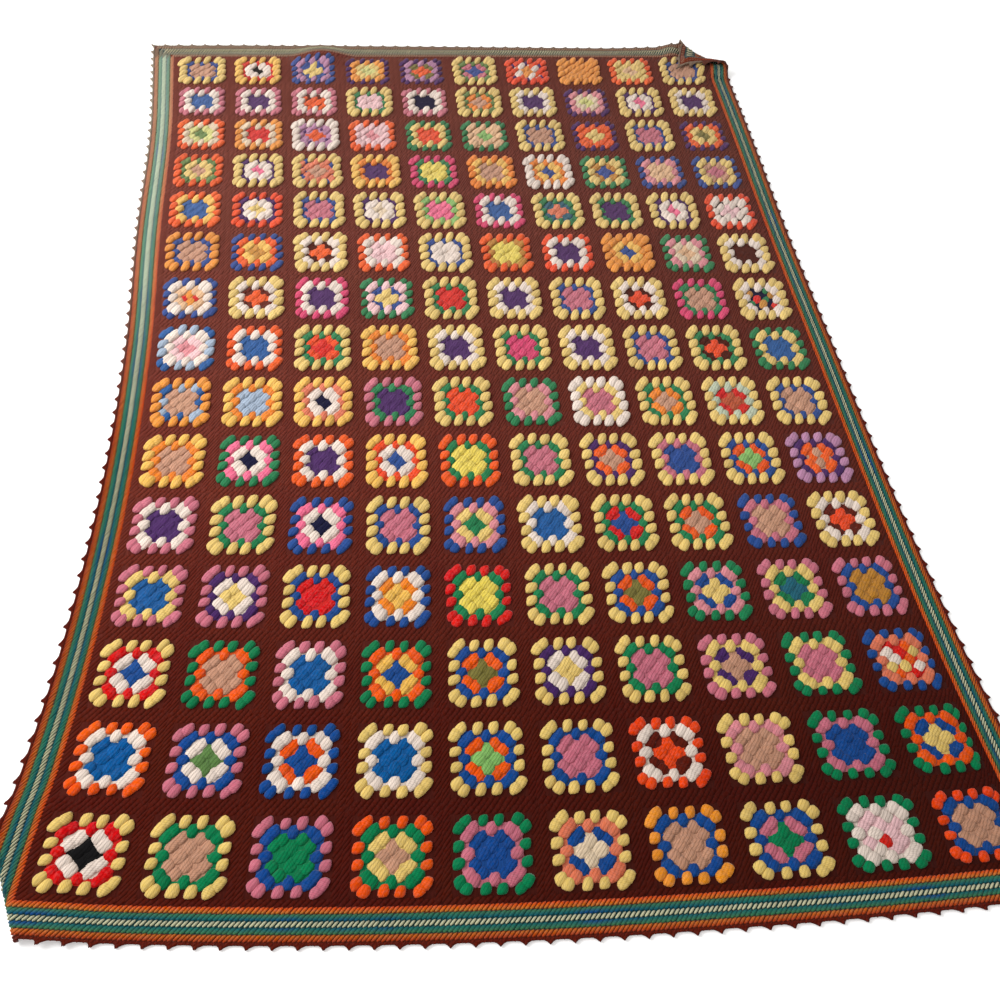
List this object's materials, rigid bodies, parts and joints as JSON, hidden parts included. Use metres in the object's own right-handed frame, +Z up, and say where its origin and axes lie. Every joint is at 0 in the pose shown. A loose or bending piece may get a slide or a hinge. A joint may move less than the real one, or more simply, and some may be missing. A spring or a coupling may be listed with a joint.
{
  "type": "granny square blanket",
  "caption": "Crocheted granny square blanket laid out flat, with a mitred striped border, a picot edging and two turned corners.",
  "frame": {"origin": "on the ground, under the middle of the blanket's overall box", "axes": "+Y along the blanket from its near edge to its far one, +X across it, +Z up"},
  "size_m": [1.423, 2.0522, 0.0344],
  "materials": {
    "squares": "worsted acrylic crochet in many colours, matt",
    "border": "worsted acrylic crochet, striped, matt",
    "edging": "worsted acrylic crochet, dark brown, matt"
  },
  "bodies": {
    "root": {"field": "squares", "border": "border", "edging": "edging"}
  },
  "joints": []
}
